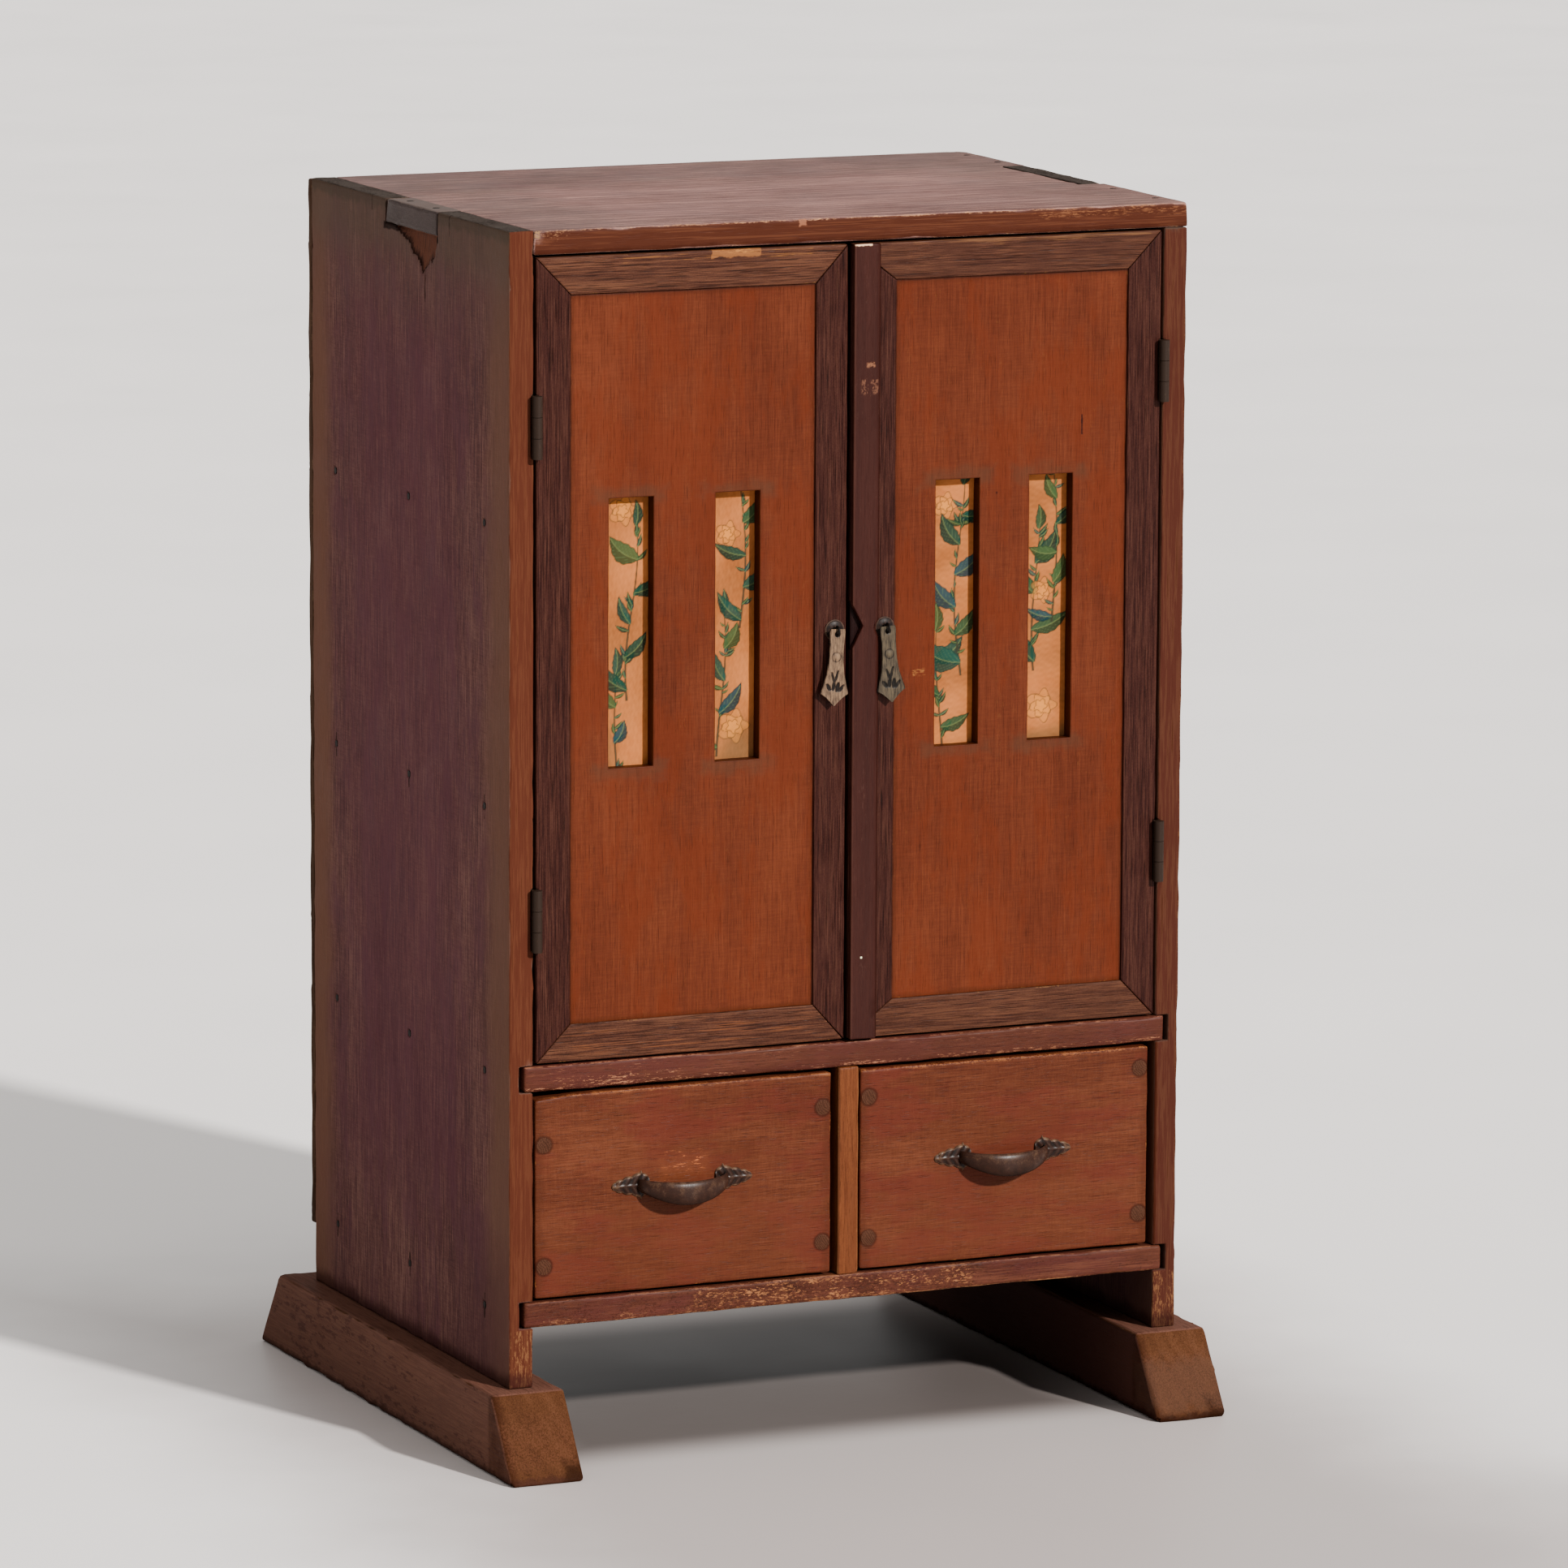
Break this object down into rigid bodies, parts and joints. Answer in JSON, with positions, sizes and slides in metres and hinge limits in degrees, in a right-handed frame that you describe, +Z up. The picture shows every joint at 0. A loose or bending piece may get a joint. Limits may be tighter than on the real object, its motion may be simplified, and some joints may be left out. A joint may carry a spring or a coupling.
{
  "type": "cupboard",
  "caption": "Low wooden cupboard on two long feet: paired framed doors with tall slots over two drawers, shelves behind the doors, hanging plate pulls and bow pulls.",
  "frame": {"origin": "centre of the whole part's footprint, at the floor under the feet", "axes": "+Z up, the doors and drawers face -Y, +X to the right of a viewer who faces the doors"},
  "size_m": [0.482, 0.43, 0.757],
  "materials": {
    "dark_board": "worn stained and oiled wood, dark purple brown",
    "top_board": "weathered wood, greyish brown, grain along the width",
    "shelf_wood": "worn red brown wood with pale chipped edges",
    "divider_wood": "orange brown wood",
    "inner_wood": "plain unfinished wood",
    "foot_wood": "brown wood, darker at the floor",
    "frame_wood": "dark brown open grained wood",
    "panel_wood": "orange brown wood, fine upright grain",
    "drawer_front_wood": "red orange brown wood, level grain",
    "drawer_wood": "plain pale wood",
    "print_paper": "peach paper printed with green leaves",
    "plug_wood": "dark end grain plugs",
    "iron": "rusted dark iron",
    "hinge_brass": "dull aged brass",
    "dark_bronze": "dark aged bronze, bright on its ridges",
    "pale_brass": "pale pressed brass",
    "green_brass": "grey green tarnished brass"
  },
  "bodies": {
    "case": {"left_side": "dark_board", "right_side": "dark_board", "top_board": "top_board", "middle_shelf": "shelf_wood", "bottom_board": "shelf_wood", "drawer_divider": "divider_wood", "lower_inner_shelf": "inner_wood", "upper_inner_shelf": "inner_wood", "back_panel": "dark_board", "left_foot": "foot_wood", "right_foot": "foot_wood", "shelf_nails": "iron", "top_nails": "iron", "back_nails": "iron", "foot_screws": "iron", "case_hinge_leaves": "hinge_brass", "case_hinge_screws": "hinge_brass", "hinge_pins": "hinge_brass"},
    "left_door": {"left_hinge_stile": "frame_wood", "left_meeting_stile": "frame_wood", "left_top_rail": "frame_wood", "left_bottom_rail": "frame_wood", "left_panel": "panel_wood", "left_print": "print_paper", "left_backing": "inner_wood", "left_door_leaves": "hinge_brass", "left_leaf_screws": "hinge_brass", "left_rosette": "dark_bronze", "left_ring": "dark_bronze"},
    "left_drop": {"left_drop_plate": "pale_brass"},
    "right_door": {"right_hinge_stile": "frame_wood", "right_meeting_stile": "frame_wood", "right_top_rail": "frame_wood", "right_bottom_rail": "frame_wood", "right_panel": "panel_wood", "right_print": "print_paper", "right_backing": "inner_wood", "right_door_leaves": "hinge_brass", "right_leaf_screws": "hinge_brass", "right_rosette": "dark_bronze", "right_ring": "dark_bronze", "meeting_strip": "frame_wood"},
    "right_drop": {"right_drop_plate": "green_brass"},
    "left_drawer": {"left_drawer_front": "drawer_front_wood", "left_drawer_left_wall": "drawer_wood", "left_drawer_right_wall": "drawer_wood", "left_drawer_rear": "drawer_wood", "left_drawer_floor": "drawer_wood", "left_drawer_pull": "dark_bronze", "left_drawer_plugs": "plug_wood", "left_drawer_nails": "iron"},
    "right_drawer": {"right_drawer_front": "drawer_front_wood", "right_drawer_left_wall": "drawer_wood", "right_drawer_right_wall": "drawer_wood", "right_drawer_rear": "drawer_wood", "right_drawer_floor": "drawer_wood", "right_drawer_pull": "dark_bronze", "right_drawer_plugs": "plug_wood", "right_drawer_nails": "iron"}
  },
  "joints": [
    {"name": "left_door_hinge", "type": "hinge", "parent": "case", "child": "left_door", "pos_m": [-0.20825, -0.1746, 0.489], "axis": [0, 0, -1], "range_deg": [0, 180]},
    {"name": "right_door_hinge", "type": "hinge", "parent": "case", "child": "right_door", "pos_m": [0.20825, -0.1746, 0.504], "axis": [0, 0, 1], "range_deg": [0, 180]},
    {"name": "left_drop_swing", "type": "hinge", "parent": "left_door", "child": "left_drop", "pos_m": [-0.0114, -0.176, 0.505], "axis": [-1, 0, 0], "range_deg": [0, 165]},
    {"name": "right_drop_swing", "type": "hinge", "parent": "right_door", "child": "right_drop", "pos_m": [0.022, -0.176, 0.505], "axis": [-1, 0, 0], "range_deg": [0, 165]},
    {"name": "left_drawer_slide", "type": "slide", "parent": "case", "child": "left_drawer", "axis": [0, -1, 0], "range_m": [0, 0.24]},
    {"name": "right_drawer_slide", "type": "slide", "parent": "case", "child": "right_drawer", "axis": [0, -1, 0], "range_m": [0, 0.24]}
  ]
}
